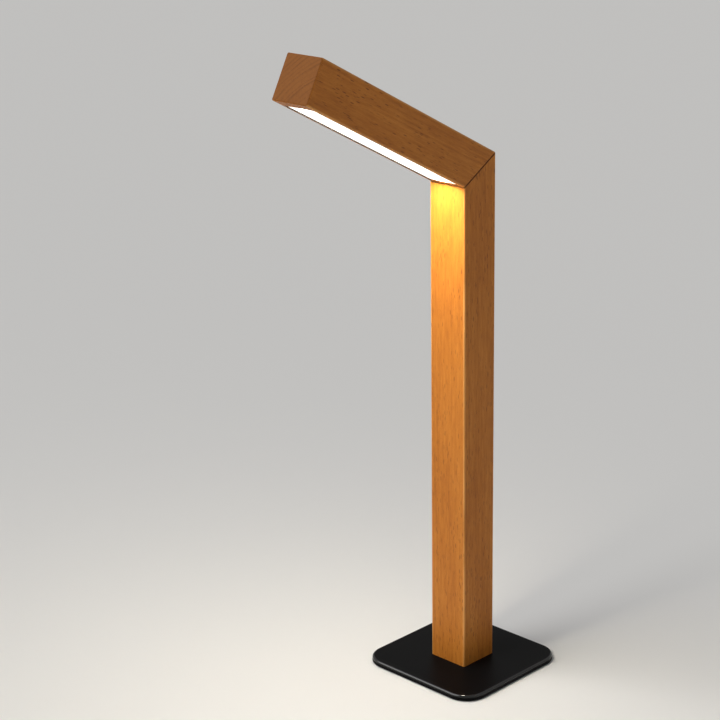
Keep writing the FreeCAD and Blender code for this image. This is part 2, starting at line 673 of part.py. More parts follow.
def battery_cell():
    """Round lithium cell with its raised terminal at the top."""
    can = rod(CELL_DIAMETER / 2, (CELL_BOTTOM, CELL_TOP), 0, CELL_Y)
    can = rounded(can, CELL_NUB_HEIGHT, lambda e: lies_at(e, CELL_TOP) or lies_at(e, CELL_BOTTOM))
    nub = rod(CELL_NUB_DIAMETER / 2, (CELL_TOP, CELL_TOP + CELL_NUB_HEIGHT), 0, CELL_Y)
    return can.fuse(nub).removeSplitter()


def cell_pad(front):
    """Foam strip that holds the cell off the channel's floor, or off the cover."""
    half, middle = CELL_PAD_WIDTH / 2, (CELL_BOTTOM + CELL_TOP) / 2
    y = (CHANNEL_FLOOR, CHANNEL_FLOOR + CELL_PAD) if front else (COVER_INSIDE - CELL_PAD, COVER_INSIDE)
    return block((-half, half), y, (middle - CELL_PAD_LENGTH / 2, middle + CELL_PAD_LENGTH / 2))


def battery_pads():
    return Part.makeCompound([cell_pad(True), cell_pad(False)])


def tab_heights():
    return (CELL_BOTTOM - TAB_THICKNESS, CELL_TOP + CELL_NUB_HEIGHT)


def battery_tabs():
    """Nickel strips welded to the cell's two ends."""
    half, front = TAB_WIDTH / 2, CELL_Y - TAB_LENGTH
    return Part.makeCompound([block((-half, half), (front, CELL_Y + half), (z, z + TAB_THICKNESS))
                              for z in tab_heights()])


def battery_lead(positive):
    """Lead from the cell's plug to its lower tab, or up the channel's corner to its upper one."""
    radius = LEAD_DIAMETER / 2
    x = -SOCKET_SPACING / 2 + (-LEAD_DIAMETER if positive else LEAD_DIAMETER)
    points = [Vector(x, SOCKET_Y, PLUG_TOP), Vector(x, SOCKET_Y, PLUG_TOP + LEAD_STRAIGHT)]
    lower, upper = tab_heights()
    if not positive:
        tab_y = CELL_Y - TAB_LENGTH + radius
        points += [Vector(0, tab_y, lower - LEAD_STRAIGHT), Vector(0, tab_y, lower)]
        return tube(points, [LEAD_BEND, LEAD_BEND], radius)
    corner_x = -CHANNEL_HALF + radius + CABLE_GAP
    corner_y = CHANNEL_FLOOR + radius + CABLE_GAP
    over = upper + TAB_THICKNESS + radius
    points += [Vector(corner_x, corner_y, CELL_BOTTOM - LEAD_STRAIGHT), Vector(corner_x, corner_y, over),
               Vector(0, corner_y + radius, over)]
    return tube(points, [LEAD_BEND, LEAD_BEND, LEAD_TIGHT_BEND], radius)


# Swivel

def swivel_bush():
    """Flanged bush clamped in the column's top. The stop pin runs round a groove in its face up to a land."""
    bush = flange((FLANGE_BOTTOM, FLANGE_TOP)).fuse(rod(BUSH_RADIUS, (BUSH_END, FLANGE_BOTTOM)))
    bush = bush.removeSplitter().cut(rod(SPINDLE_RADIUS + RUNNING_GAP, (BUSH_END - OVERCUT, OVERCUT)))
    depth = (FLANGE_TOP - STOP_GROOVE_DEPTH, FLANGE_TOP + OVERCUT)
    reach = STOP_PIN_RADIUS + STOP_GROOVE_GAP
    outer, inner = rod(STOP_PIN_CIRCLE + reach, depth), rod(STOP_PIN_CIRCLE - reach, depth)
    pin_angle = math.degrees(math.asin(STOP_PIN_RADIUS / STOP_PIN_CIRCLE))
    land_half = 180 - SWIVEL_LIMIT - pin_angle - STOP_SPARE_ANGLE
    height = depth[1] - depth[0]
    wedge = Part.makeCylinder(FLANGE_RADIUS, height, Vector(0, 0, depth[0]), Z_AXIS, 2 * land_half)
    wedge.rotate(Vector(), Z_AXIS, STOP_PIN_ANGLE + 180 - land_half)
    return placed(bush.cut(outer.cut([inner, wedge])), AT_KNEE)


def bush_ring_nut():
    """Slotted ring nut that clamps the bush to the wood of the column's top."""
    z = (-BULKHEAD - RING_NUT_THICKNESS, -BULKHEAD)
    ring = rod(RING_NUT_RADIUS, z).cut(rod(BUSH_RADIUS, (z[0] - OVERCUT, z[1] + OVERCUT)))
    slot = RING_NUT_SLOT / 2
    ends = (RING_NUT_RADIUS - RING_NUT_SLOT / 2, RING_NUT_RADIUS + OVERCUT)
    slots = [block(x, (-slot, slot), (z[0] - OVERCUT, z[1] + OVERCUT)) for x in (ends, (-ends[1], -ends[0]))]
    return placed(ring.cut(slots), AT_KNEE)


def thrust_washer():
    ring = rod(WASHER_RADIUS, (-SWIVEL_GAP / 2, SWIVEL_GAP / 2))
    return placed(ring.cut(rod(SPINDLE_RADIUS + WASHER_GAP, (-SWIVEL_GAP, SWIVEL_GAP))), AT_KNEE)


def disc_spring():
    """Conical spring washer between the bush and the nut, which gives the swivel its drag."""
    inner = SPINDLE_RADIUS + WASHER_GAP
    low, thick, cone = NUT_TOP, DISC_SPRING_THICKNESS, DISC_SPRING_CONE
    section = [(inner, low + cone), (DISC_SPRING_RADIUS, low), (DISC_SPRING_RADIUS, low + thick),
               (inner, low + cone + thick)]
    points = [Vector(r, 0, z) for r, z in section + section[:1]]
    return placed(Part.Face(Part.makePolygon(points)).revolve(Vector(), Z_AXIS, 360), AT_KNEE)


def swivel_nut():
    nut = hexagon(NUT_ACROSS_FLATS, (NUT_BOTTOM, NUT_TOP))
    return placed(nut.cut(rod(SPINDLE_RADIUS, (NUT_BOTTOM - OVERCUT, NUT_TOP + OVERCUT))), AT_KNEE)


def swivel_spindle():
    """Hollow spindle whose flange is screwed into the arm. The cable passes through it."""
    body = flange((-FLANGE_TOP, -FLANGE_BOTTOM)).fuse(rod(SPINDLE_RADIUS, (SPINDLE_END, -FLANGE_TOP)))
    bore = rod(SPINDLE_BORE, (SPINDLE_END - OVERCUT, -FLANGE_BOTTOM + OVERCUT))
    return placed(body.removeSplitter().cut([bore, stop_pin_envelope()] + flange_screw_envelopes()), AT_KNEE)


def spindle_screws():
    screw = countersunk(FLANGE_SCREW_HEAD, FLANGE_SCREW_SHANK, FLANGE_SCREW_LENGTH)
    screw = screw.cut(cross_recess(FLANGE_SCREW_HEAD))
    return Part.makeCompound([placed(screw, AT_KNEE.multiply(Placement(place, Rotation(X_AXIS, 180))))
                              for place in flange_screw_places()])


def stop_pin():
    return placed(stop_pin_envelope(), AT_KNEE)


# Arm and its light strip

def cable_points_in_arm():
    """Bends of the cable in the arm's frame: above the spindle, then down onto the light board."""
    rise = LEAD_BORE_DEPTH - LEAD_BORE_RADIUS
    above = IN_ARM.inverse().multVec(AT_KNEE.multVec(Vector(0, 0, rise)))
    level = LED_FACE - CABLE_RADIUS - PROFILE_GAP
    onto = Vector(0, level, LED_BOARD_START - CABLE_BEFORE_BOARD)
    return above, onto, Vector(0, level, LED_BOARD_START + CABLE_ON_BOARD)


def lead_bores():
    """Bore along the spindle's axis, and a slanting one from the strip's channel that meets it."""
    above, onto, _ = cable_points_in_arm()
    along = placed(rod(LEAD_BORE_RADIUS, (-FLANGE_BOTTOM - OVERCUT, LEAD_BORE_DEPTH)), AT_KNEE)
    slant = above - onto
    start = onto + slant * ((STRIP_DEPTH - LEAD_BORE_RADIUS - onto.y) / slant.y)
    slanting = Part.makeCylinder(LEAD_BORE_RADIUS, (above - start).Length, start, slant)
    return [along, placed(slanting, IN_ARM)]


def arm():
    bar = rounded(block((-HALF, HALF), (0, BAR), (-2 * BAR, ARM_REACH)), EDGE_ROUND,
                  lambda e: runs_along(e, Z_AXIS) or lies_at(e, ARM_REACH))
    half = STRIP_WIDTH / 2
    bar = bar.cut([block((-half, half), (-OVERCUT, STRIP_DEPTH), (STRIP_KNEE_END, STRIP_TIP_END))]
                  + led_screw_shanks())
    recess = placed(flange((-OVERCUT, -FLANGE_BOTTOM)), AT_KNEE)
    screws = [placed(screw, AT_KNEE) for screw in flange_screw_envelopes()]
    return placed(bar, IN_ARM).common(knee_side(1)).cut([recess] + screws + lead_bores())


def led_screw_shanks():
    """Shanks of the light strip's screws, from the light board up into the wood."""
    depth = (LED_FACE, STRIP_DEPTH + LED_SCREW_IN_WOOD)
    return [rod_y(LED_SCREW_DIAMETER / 2, depth, 0, z) for z in LED_SCREW_PLACES]


def strip_ends(gap):
    return (STRIP_KNEE_END + gap, STRIP_TIP_END - gap)


def led_profile():
    """Aluminium channel with two inner ledges for the diffuser. Its floor is notched for the cable."""
    z = strip_ends(STRIP_END_GAP)
    cut_z = (z[0] - OVERCUT, z[1] + OVERCUT)
    outside = block((-PROFILE_HALF, PROFILE_HALF), (DIFFUSER_RECESS, STRIP_DEPTH), z)
    inner_x = (-PROFILE_INNER_HALF, PROFILE_INNER_HALF)
    inside = block(inner_x, (DIFFUSER_RECESS - OVERCUT, PROFILE_FLOOR_FACE), cut_z)
    ledge_y = (DIFFUSER_BACK, DIFFUSER_BACK + PROFILE_LEDGE_HEIGHT)
    ledge_x = (PROFILE_INNER_HALF - PROFILE_LEDGE, PROFILE_INNER_HALF)
    ledges = [block(x, ledge_y, z) for x in (ledge_x, (-ledge_x[1], -ledge_x[0]))]
    notch_y = (PROFILE_FLOOR_FACE - OVERCUT, STRIP_DEPTH + OVERCUT)
    notch = block((-PROFILE_NOTCH_HALF, PROFILE_NOTCH_HALF), notch_y, (cut_z[0], z[0] + PROFILE_NOTCH_LENGTH))
    profile = outside.cut(inside).fuse(ledges).removeSplitter().cut([notch] + led_screw_shanks())
    return placed(profile, IN_ARM)


def led_board():
    half = LED_BOARD_WIDTH / 2
    board = block((-half, half), (LED_FACE, PROFILE_FLOOR_FACE), (LED_BOARD_START, LED_BOARD_END))
    return placed(board.cut(led_screw_shanks()), IN_ARM)


def led_board_screws():
    screw = pan_head(LED_SCREW_HEAD, LED_SCREW_HEAD_HEIGHT, LED_SCREW_DIAMETER,
                     STRIP_DEPTH + LED_SCREW_IN_WOOD - LED_FACE)
    upwards = Rotation(X_AXIS, 90)
    screws = [placed(screw, Placement(Vector(0, LED_FACE, z), upwards)) for z in LED_SCREW_PLACES]
    return placed(Part.makeCompound(screws), IN_ARM)


def led_chips():
    """Row of light chips at a steady pitch between the two screws."""
    low, high = LED_SCREW_PLACES[0] + LED_CHIP_SCREW_GAP, LED_SCREW_PLACES[1] - LED_CHIP_SCREW_GAP
    count = int((high - low - LED_CHIP_LENGTH) / LED_CHIP_PITCH) + 1
    first = (low + high - (count - 1) * LED_CHIP_PITCH) / 2
    half, long_half = LED_CHIP_WIDTH / 2, LED_CHIP_LENGTH / 2
    chips = [block((-half, half), (LED_FACE - LED_CHIP_HEIGHT, LED_FACE), (z - long_half, z + long_half))
             for z in (first + LED_CHIP_PITCH * k for k in range(count))]
    return placed(Part.makeCompound(chips), IN_ARM)


def diffuser():
    """Opal strip that lies between the profile's walls, a little behind the wood."""
    half = PROFILE_INNER_HALF - DIFFUSER_GAP
    strip = block((-half, half), (DIFFUSER_RECESS, DIFFUSER_BACK), strip_ends(STRIP_END_GAP))
    strip = rounded(strip, DIFFUSER_ROUND, lambda e: e.BoundBox.YMax < DIFFUSER_RECESS + DIFFUSER_ROUND)
    return placed(strip, IN_ARM)


# Cable from the board to the light strip, in two pieces that meet at the spindle's lower end

def spindle_end_point():
    return AT_KNEE.multVec(Vector(0, 0, SPINDLE_END))


def cable_lower():
    """From the board's plug up the channel's corner, past the cell, then across to the spindle."""
    plug = Vector(SOCKET_SPACING / 2, SOCKET_Y, PLUG_TOP)
    corner_x = CHANNEL_HALF - CABLE_RADIUS - CABLE_GAP
    corner_y = CHANNEL_FLOOR + CABLE_RADIUS + CABLE_GAP
    end = spindle_end_point()
    run_y = COVER_INSIDE - CABLE_COVER_GAP - CABLE_RADIUS
    below = AT_KNEE.multVec(Vector(0, 0, -run_y / MITRE_SIN))
    crossed_at = below.z - CABLE_APPROACH
    points = [plug,
              plug + Z_AXIS * CABLE_STRAIGHT,
              Vector(corner_x, corner_y, CELL_BOTTOM),
              Vector(corner_x, corner_y, crossed_at - CABLE_CROSSING),
              Vector(0, below.y, crossed_at),
              below,
              end]
    bends = [CABLE_BEND] + [CABLE_WIDE_BEND] * (len(points) - 3)
    return tube(points, bends, CABLE_RADIUS)


def cable_upper():
    """From the spindle's lower end through its bore and the arm's bores onto the light board."""
    above, onto, end = (IN_ARM.multVec(point) for point in cable_points_in_arm())
    return tube([spindle_end_point(), above, onto, end], [CABLE_BEND, CABLE_BEND], CABLE_RADIUS)


NODES = {
    "base_plate": base_plate,
    "base_pad": base_pad,
    "base_screw": base_screw,
    "locating_pins": lambda: Part.makeCompound(locating_pins()),
    "column_insert": column_insert,
    "column": column,
    "rear_cover": rear_cover,
    "rear_cover_screws": rear_cover_screws,
    "control_panel": control_panel,
    "control_panel_screws": control_panel_screws,
    "control_board": control_board,
    "control_board_screws": control_board_screws,
    "board_components": board_components,
    "board_sockets": board_sockets,
    "usb_shell": usb_shell,
    "usb_tongue": usb_tongue,
    "indicator_chip": indicator_chip,
    "indicator_lens": indicator_lens,
    "switch_body": switch_body,
    "switch_plunger": switch_plunger,
    "power_button": power_button,
    "battery_cell": battery_cell,
    "battery_pads": battery_pads,
    "battery_tabs": battery_tabs,
    "battery_plug": lambda: lead_plug(-SOCKET_SPACING / 2),
    "battery_lead_positive": lambda: battery_lead(True),
    "battery_lead_negative": lambda: battery_lead(False),
    "cable_plug": lambda: lead_plug(SOCKET_SPACING / 2),
    "cable_lower": cable_lower,
    "cable_upper": cable_upper,
    "swivel_bush": swivel_bush,
    "bush_ring_nut": bush_ring_nut,
    "thrust_washer": thrust_washer,
    "disc_spring": disc_spring,
    "swivel_nut": swivel_nut,
    "swivel_spindle": swivel_spindle,
    "spindle_screws": spindle_screws,
    "stop_pin": stop_pin,
    "arm": arm,
    "led_profile": led_profile,
    "led_board": led_board,
    "led_board_screws": led_board_screws,
    "led_chips": led_chips,
    "diffuser": diffuser,
}

os.makedirs("parts", exist_ok=True)
for name, make in NODES.items():
    shape = make()
    print(f"{name}: {len(shape.Solids)} solids, {shape.Volume:.1f} mm3, valid {shape.isValid()}")
    shape.exportStep(f"parts/{name}.step")
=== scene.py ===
import math

import bmesh
import bpy
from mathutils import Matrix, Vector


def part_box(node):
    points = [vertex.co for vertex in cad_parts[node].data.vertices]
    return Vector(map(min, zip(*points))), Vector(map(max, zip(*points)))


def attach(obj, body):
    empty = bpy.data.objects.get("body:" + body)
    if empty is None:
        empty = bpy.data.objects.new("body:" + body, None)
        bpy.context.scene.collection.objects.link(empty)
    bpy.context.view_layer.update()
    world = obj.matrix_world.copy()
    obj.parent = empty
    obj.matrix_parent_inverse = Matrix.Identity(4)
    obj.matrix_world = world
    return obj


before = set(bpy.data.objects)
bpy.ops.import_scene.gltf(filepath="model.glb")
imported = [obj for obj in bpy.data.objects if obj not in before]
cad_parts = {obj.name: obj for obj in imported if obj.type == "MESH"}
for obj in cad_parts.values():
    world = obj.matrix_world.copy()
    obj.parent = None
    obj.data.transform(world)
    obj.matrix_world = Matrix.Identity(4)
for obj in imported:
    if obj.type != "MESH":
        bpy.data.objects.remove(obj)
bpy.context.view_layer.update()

# Base pad: a thin sheet of black foam rubber, die cut a little smaller than the plate.
# It is stuck to the plate's underside, and its fine open cells keep the lamp from sliding.

MM = 0.001


class Wire:
    """One shader socket. Arithmetic on it adds Math nodes, and node() adds any other node beside it."""

    def __init__(self, tree, socket=None):
        self.tree = tree
        self.socket = socket

    def node(self, kind, settings=None, inputs=None, out=0):
        made = self.tree.nodes.new("ShaderNode" + kind)
        for name, value in (settings or {}).items():
            if name == "stops":
                while len(made.color_ramp.elements) < len(value):
                    made.color_ramp.elements.new(1.0)
                for element, (place, colour) in zip(made.color_ramp.elements, value):
                    element.position = place
                    element.color = colour
            else:
                setattr(made, name, value)
        sockets = {socket.identifier: socket for socket in made.inputs}
        for name, value in (inputs or {}).items():
            if isinstance(value, Wire):
                self.tree.links.new(value.socket, sockets[name])
            else:
                sockets[name].default_value = value
        return Wire(self.tree, made.outputs[out])

    def part(self, name):
        return Wire(self.tree, self.socket.node.outputs[name])

    def math(self, operation, first, second):
        return self.node("Math", {"operation": operation}, {"Value": first, "Value_001": second})

    def __add__(self, other):
        return self.math("ADD", self, other)

    def __radd__(self, other):
        return self.math("ADD", other, self)

    def __sub__(self, other):
        return self.math("SUBTRACT", self, other)

    def __rsub__(self, other):
        return self.math("SUBTRACT", other, self)

    def __mul__(self, other):
        return self.math("MULTIPLY", self, other)

    def __rmul__(self, other):
        return self.math("MULTIPLY", other, self)

    def __truediv__(self, other):
        return self.math("DIVIDE", self, other)

    def __pow__(self, other):
        return self.math("POWER", self, other)

    def __abs__(self):
        return self.math("ABSOLUTE", self, 0.0)


def shown(red, green, blue):
    """A colour as it is seen on a screen, 0 to 255, in the linear values that a shader takes."""
    linear = [(level / 255 / 12.92) if level < 11 else ((level / 255 + 0.055) / 1.055) ** 2.4
              for level in (red, green, blue)]
    return (*linear, 1.0)


def begin(name):
    """A new finish, and the place on the piece in metres that its pattern reads."""
    finish = bpy.data.materials.new(name)
    finish.use_nodes = True
    return finish, Wire(finish.node_tree).node("TexCoord", out="Object")


def shade(finish, **inputs):
    """Sets the finish's surface. Names are those of the shader's sockets, with _ for a space."""
    surface = finish.node_tree.nodes["Principled BSDF"]
    for name, value in inputs.items():
        socket = surface.inputs[name.replace("_", " ")]
        if isinstance(value, Wire):
            finish.node_tree.links.new(value.socket, socket)
        else:
            socket.default_value = value


def dress(finish, *pieces):
    """Gives CAD pieces their finish."""
    for piece in pieces:
        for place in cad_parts[piece].material_slots:
            place.material = finish


def grainy(point, per_metre, detail=2.0):
    """Even noise, 0 to 1, with this many lumps to a metre."""
    return point.node("TexNoise", inputs={"Vector": point, "Scale": per_metre, "Detail": detail})


def scattered(point, per_metre, randomness=1.0):
    """How far the nearest of many scattered points is, as a share of their spacing."""
    return point.node("TexVoronoi", inputs={"Vector": point, "Scale": per_metre, "Randomness": randomness})


def eased(value, low, high):
    """Goes smoothly from 0 at low to 1 at high."""
    return value.node("MapRange", {"interpolation_type": "SMOOTHSTEP"},
                      {"Value": value, "From Min": low, "From Max": high})


def tint(share, under, over):
    """Puts one colour over another by share."""
    return share.node("Mix", {"data_type": "RGBA"},
                      {"Factor_Float": share, "A_Color": under, "B_Color": over}, out=2)


def raised(height, depth, strength=1.0):
    """The bump that a height from 0 to 1 makes, depth in millimetres."""
    return height.node("Bump", inputs={"Height": height, "Distance": depth * MM, "Strength": strength})


pad_rubber, point = begin("pad_rubber")
cells = scattered(point, 1900.0)
patch = grainy(point, 60.0, 3.0)
shade(
    pad_rubber,
    Base_Color=tint(patch * (1 - eased(cells, 0.05, 0.5)), shown(34, 34, 35), shown(62, 61, 60)),
    Roughness=0.82 + 0.12 * patch,
    Normal=raised(eased(cells, 0.0, 0.55), 0.12),
    Specular_IOR_Level=0.3,
)
dress(pad_rubber, "base_pad")

# Base plate: 4 mm steel, blanked square with wide round corners, its top edge rolled over.
# It is powder coated satin black, drilled for the middle screw and two pins.

CORNER_MIDDLE = 33.0
ROLLED_REACH = (14.2, 15.2)
ROLLED_HEIGHT = (2.6, 3.6)


def in_millimetres(point, origin=(0.0, 0.0, 0.0), turn=(0.0, 0.0, 0.0)):
    """The place in millimetres, in a frame that stands at origin and is turned by these angles."""
    return point.node("Mapping", {"vector_type": "TEXTURE"},
                      {"Vector": point, "Location": origin, "Rotation": turn, "Scale": (MM, MM, MM)})


def along(place):
    """The three lengths of a place."""
    first = place.node("SeparateXYZ", inputs={"Vector": place})
    return first, first.part("Y"), first.part("Z")


black_coat, point = begin("black_coat")
x, y, z = along(in_millimetres(point))
past_x = x.math("MAXIMUM", abs(x) - CORNER_MIDDLE, 0.0)
past_y = y.math("MAXIMUM", abs(y) - CORNER_MIDDLE, 0.0)
reach = (past_x * past_x + past_y * past_y) ** 0.5
rolled_edge = eased(reach, *ROLLED_REACH) * eased(z, *ROLLED_HEIGHT)
peel = grainy(point, 1100.0)
smear = grainy(point, 34.0, 4.0)
speck = 1 - eased(scattered(point, 210.0), 0.03, 0.05)
rubbed = rolled_edge * eased(grainy(point, 260.0, 3.0), 0.5, 0.72)
coat_colour = tint(smear, shown(6, 6, 7), shown(11, 11, 12))
shade(
    black_coat,
    Base_Color=tint(rubbed * 0.4 + speck * 0.2, coat_colour, shown(46, 45, 44)),
    Roughness=0.4 + 0.12 * (smear - 0.5) + 0.06 * peel,
    Normal=raised(peel, 0.012),
    Specular_IOR_Level=0.035,
    Coat_Weight=rolled_edge,
    Coat_Roughness=0.1,
)
dress(black_coat, "base_plate")

# Base screw and locating pins, and every other bright screw and pin in the lamp.
# They are headed and rolled from steel wire, then zinc plated to a mottled blue grey.

zinc_steel, point = begin("zinc_steel")
bloom = grainy(point, 900.0, 3.0)
drawn = grainy(point, 6000.0)
shade(
    zinc_steel,
    Base_Color=tint(bloom, shown(176, 182, 190), shown(206, 206, 202)),
    Metallic=1.0,
    Roughness=0.26 + 0.16 * bloom + 0.08 * drawn,
    Normal=raised(drawn, 0.006),
)
dress(zinc_steel, "base_screw", "locating_pins", "control_board_screws", "led_board_screws",
      "spindle_screws", "stop_pin")

# Column: one planed bar of beech, mitred at the top, routed hollow from the back and oiled to a warm satin.
# It is cut on the slant of the rings, so each face shows straight grain and the short dark dashes of rays.
# Its edges are eased with sandpaper and painted paler: partly wear from handling, partly a painted
# highlight where the eased edges catch the light.

BAR_HALF = 15.0
EASED_EDGE = (0.75, 1.5)
PITH_AWAY = 86.0
RING_WIDTH = 2.9
RING_WANDER = 8.0
RING_SEASONS = 7.0
RING_SLOPE = 0.012
KNEE = (0.0, 0.0, 0.351013)
MITRE_TURN = (math.radians(31.0), 0.0, 0.0)
SEAM_SHADE = (0.2, 0.9)


def stretched(point, along_x, along_y, along_z):
    """The place with its three lengths multiplied, which packs or draws out the pattern on it."""
    return point.node("VectorMath", {"operation": "MULTIPLY"},
                      {"Vector": point, "Vector_001": (along_x, along_y, along_z)})


def in_the_log(place, middle, pith_angle, log_end):
    """A place in a bar as a place in its log: the way round the pith, out from it and along the grain."""
    across, deep, length = along(place)
    to_x, to_y = math.cos(pith_angle), math.sin(pith_angle)
    east = across - middle[0] + PITH_AWAY * to_x
    north = deep - middle[1] + PITH_AWAY * to_y
    radius = (east * east + north * north) ** 0.5
    angle = radius.math("ARCTAN2", north * to_x - east * to_y, east * to_x + north * to_y)
    return place.node("CombineXYZ", inputs={"X": angle * PITH_AWAY, "Y": radius, "Z": length + log_end})


def beech(name, origin, turn, middle, pith_angle, log_end, edges=True, groove=None):
    """Oiled beech with its grain along z of the piece's own frame, from a log whose pith lies to one side.

    groove is the half width, the two ends and the depth of a groove whose long walls are darkened: painted
    shade inside the recess.
    """
    finish, point = begin(name)
    place = in_millimetres(point, origin, turn)
    across, deep, length = along(place)
    timber = in_the_log(place, middle, pith_angle, log_end)
    _, radius, _ = along(timber)

    def figure(round_pith, outwards, lengthwise, detail=2.0):
        """Noise in the wood, with this many lumps to a millimetre in its three directions."""
        return grainy(stretched(timber, round_pith, outwards, lengthwise), 1.0, detail)

    wander = figure(0.03, 0.03, 0.004)
    season = figure(0.004, 0.17, 0.002, 1.0)
    ring = (radius + wander * RING_WANDER + season * RING_SEASONS + length * RING_SLOPE) / RING_WIDTH
    late = (0.5 - 0.5 * ring.math("COSINE", ring * math.tau, 0.0)) ** 3.0
    late = late * (0.2 + 0.8 * eased(figure(0.006, 0.3, 0.003, 1.0), 0.36, 0.64))
    cloud = figure(0.05, 0.05, 0.011)
    streak = figure(0.5, 0.5, 0.012)
    mottle = figure(0.6, 0.42, 0.09)
    fibre = figure(2.6, 2.6, 0.07, 3.0)
    pores = figure(8.5, 8.5, 0.5)

    crowd = 0.4 + 0.6 * eased(figure(0.09, 0.09, 0.03, 1.0), 0.3, 0.66)
    rays = scattered(stretched(timber, 1.35, 0.45, 0.125), 1.0)
    chosen = rays.node("SeparateColor", inputs={"Color": rays.part("Color")})
    fleck = (1 - eased(rays, 0.15, 0.29)) * eased(chosen, 0.1, 0.75) * crowd
    small_rays = scattered(stretched(timber, 2.6, 0.95, 0.33), 1.0)
    dash = (1 - eased(small_rays, 0.1, 0.26)) * crowd

    facing = point.node("TexCoord", out="Normal")
    up_grain = (0.0, -math.sin(turn[0]), math.cos(turn[0]))
    end = facing.node("VectorMath", {"operation": "DOT_PRODUCT"},
                      {"Vector": facing, "Vector_001": up_grain}, out="Value")
    end = eased(abs(end), 0.45, 0.85)

    tone = (0.37 + 0.12 * late + 0.55 * (cloud - 0.5) + 0.35 * (streak - 0.5) + 0.6 * (mottle - 0.5)
            + 0.42 * (fibre - 0.5) + 0.3 * (pores - 0.5))
    colour = tone.node("ValToRGB", {"stops": (
        (0.0, shown(202, 130, 51)), (0.45, shown(180, 108, 36)), (1.0, shown(133, 74, 22)))}, {"Fac": tone})
    colour = tint(fleck * 0.85 + dash * 0.35, colour, shown(88, 43, 14))
    sawn = tint(0.6 * late + 0.6 * (pores - 0.5) + 0.2, shown(134, 81, 32), shown(90, 51, 17))
    colour = tint(end * 0.75, colour, sawn)
    rough = 0.46 + 0.16 * (fibre - 0.5) - 0.07 * fleck + 0.2 * end
    if edges:
        from_corner = (BAR_HALF - abs(across - middle[0])) + (BAR_HALF - abs(deep - middle[1]))
        at_edge = 1 - eased(from_corner, *EASED_EDGE)
        # The paler band on the eased edges is partly wear from handling and partly a painted highlight.
        edge_wear_and_highlight = eased(figure(0.02, 0.02, 0.02), 0.35, 0.65)
        colour = tint(at_edge * (0.2 + 0.35 * edge_wear_and_highlight), colour, shown(232, 172, 98))
        rough = rough - 0.12 * at_edge
    # A dark band along the mitre is painted shade: the shade in the hairline gap between column and arm.
    _, _, from_mitre = along(in_millimetres(point, KNEE, MITRE_TURN))
    seam_shade = (1 - eased(abs(from_mitre), *SEAM_SHADE)) * (1 - end)
    colour = tint(seam_shade * 0.75, colour, shown(58, 30, 12))
    if groove:
        half, low, high, depth = groove
        # The groove's long walls get a dark colour, which is painted shade inside the recess.
        groove_wall_shade = (1 - eased(abs(abs(across) - half), 0.01, 0.02)) * eased(length, low, low + 0.1)
        groove_wall_shade = groove_wall_shade * (1 - eased(length, high - 0.1, high)) * (1 - eased(deep, depth, depth + 0.2))
        colour = tint(groove_wall_shade, colour, shown(34, 19, 9))
    shade(
        finish,
        Base_Color=colour,
        Roughness=rough,
        Normal=raised(0.5 * fibre + 0.3 * pores - 0.45 * fleck - 0.25 * dash + 0.5, 0.05, 0.8),
        Specular_IOR_Level=0.22,
    )
    return finish


dress(beech("beech_column", origin=(0, 0, 0), turn=(0, 0, 0), middle=(0, 0),
            pith_angle=math.radians(48.0), log_end=0.0), "column")

# Column insert, swivel bush and its ring nut: turned from brass bar on a lathe.
# The insert is screwed into the column's foot, and the bush is clamped in the mitre.

TOOL_MARKS = 16.0


def turned(name, under, over, rough, origin, turn):
    """Metal turned about z of its own frame: the tool leaves fine rings round that axis."""
    finish, point = begin(name)
    place = in_millimetres(point, origin, turn)
    x, y, z = along(place)
    radius = (x * x + y * y) ** 0.5
    cut = place.node("CombineXYZ", inputs={"X": radius * TOOL_MARKS, "Y": z * TOOL_MARKS, "Z": 0.0})
    tool = grainy(cut, 1.0, 1.0)
    stain = grainy(place, 0.35, 3.0)
    shade(
        finish,
        Base_Color=tint(stain, under, over),
        Metallic=1.0,
        Roughness=rough + 0.12 * tool + 0.1 * (stain - 0.5),
        Normal=raised(tool, 0.01),
    )
    return finish


brass = shown(226, 190, 122), shown(196, 152, 84)
dress(turned("turned_brass_upright", *brass, rough=0.24, origin=(0, 0, 0), turn=(0, 0, 0)),
      "column_insert")
dress(turned("turned_brass_mitre", *brass, rough=0.24, origin=KNEE, turn=MITRE_TURN),
      "swivel_bush", "bush_ring_nut")

# Lithium cell with its two foam pads and two nickel tabs.
# The can is sleeved in shrunk film, the tabs are spot welded on, and the pads wedge it in the column.

CRIMP = (29.5, 32.3)


def middle_of(piece):
    """The middle of a CAD piece's box."""
    low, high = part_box(piece)
    return tuple((first + second) / 2 for first, second in zip(low, high))


cell_wrap, point = begin("cell_wrap")
_, _, z = along(in_millimetres(point, middle_of("battery_cell")))
crimp = eased(abs(z), *CRIMP)
pucker = grainy(stretched(point, 700.0, 700.0, 90.0), 1.0)
film = grainy(point, 45.0)
shade(
    cell_wrap,
    Base_Color=tint(film, shown(58, 118, 156), shown(74, 134, 168)),
    Roughness=0.28 + 0.14 * film + 0.12 * crimp,
    Normal=raised(0.25 * film + pucker * crimp, 0.12),
)
dress(cell_wrap, "battery_cell")

foam, point = begin("foam")
bubbles = point.node("TexVoronoi", {"feature": "SMOOTH_F1"}, {"Vector": point, "Scale": 1500.0})
shade(
    foam,
    Base_Color=tint(eased(bubbles, 0.1, 0.6), shown(52, 53, 56), shown(104, 105, 108)),
    Roughness=0.9 + 0.08 * grainy(point, 300.0),
    Normal=raised(bubbles, 0.3),
)
dress(foam, "battery_pads")

